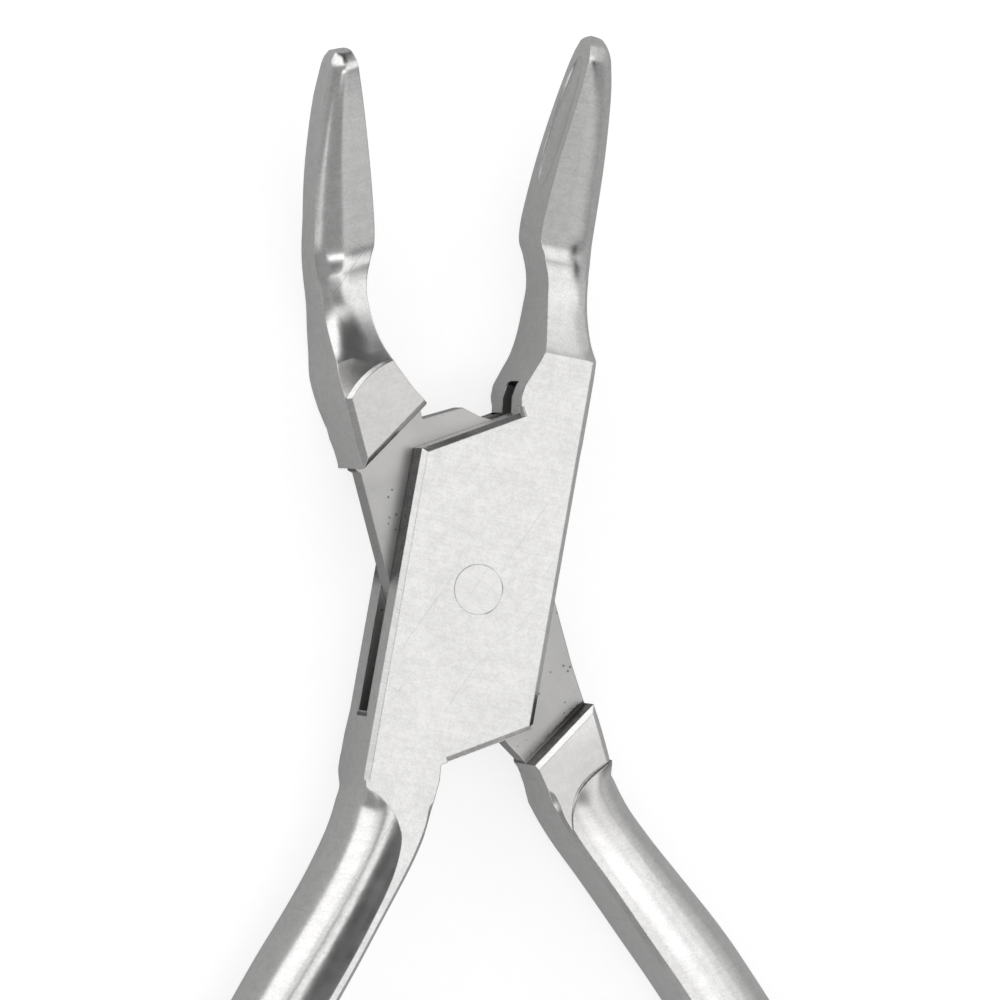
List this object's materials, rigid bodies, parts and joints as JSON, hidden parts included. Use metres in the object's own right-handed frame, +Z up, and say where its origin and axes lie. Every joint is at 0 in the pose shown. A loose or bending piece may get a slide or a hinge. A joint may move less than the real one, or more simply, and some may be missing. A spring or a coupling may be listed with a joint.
{
  "type": "bone rongeur",
  "caption": "Box-joint bone rongeur with cupped jaws that rise towards the tips and long bowed handles held open by crossed leaf springs",
  "frame": {"origin": "on the axis of the joint pin, where the axis meets the lower flat of the box", "axes": "+Y from the pin towards the jaws, +X to the jaw of the box half, +Z up along the pin; the jaws rise towards +Z"},
  "size_m": [0.0854, 0.1411, 0.0132],
  "materials": {
    "box_half_steel": "satin, fine brushed",
    "tenon_half_steel": "satin, fine brushed",
    "pin_steel": "ground flush with the box",
    "left_spring_steel": "satin spring strip",
    "right_spring_steel": "satin spring strip",
    "left_screw_steel": "turned, polished",
    "right_screw_steel": "turned, polished"
  },
  "bodies": {
    "box_body": {"box_half": "box_half_steel", "joint_pin": "pin_steel", "left_spring_screw": "left_screw_steel"},
    "tenon_body": {"tenon_half": "tenon_half_steel", "right_spring_screw": "right_screw_steel"},
    "left_leaf": {"left_leaf_spring": "left_spring_steel"},
    "right_leaf": {"right_leaf_spring": "right_spring_steel"}
  },
  "joints": [
    {"name": "jaw_pivot", "type": "hinge", "parent": "box_body", "child": "tenon_body", "pos_m": [0, 0, 0.0038], "axis": [0, 0, -1], "range_deg": [0, 25.2], "stiffness_Nm_per_rad": 1.2, "springref_deg": -9.74, "deforming": ["left_leaf_spring", "right_leaf_spring"]},
    {"name": "left_leaf_bend", "type": "hinge", "parent": "box_body", "child": "left_leaf", "pos_m": [-0.02922, -0.06474, 0.0038], "axis": [0, 0, 1], "range_deg": [0, 17.6]},
    {"name": "right_leaf_bend", "type": "hinge", "parent": "tenon_body", "child": "right_leaf", "pos_m": [0.03059, -0.06443, 0.0038], "axis": [0, 0, -1], "range_deg": [0, 17.6]}
  ],
  "couplings": [
    {"joint": "left_leaf_bend", "follows": "jaw_pivot", "ratio": 0.67},
    {"joint": "right_leaf_bend", "follows": "jaw_pivot", "ratio": 0.69}
  ]
}
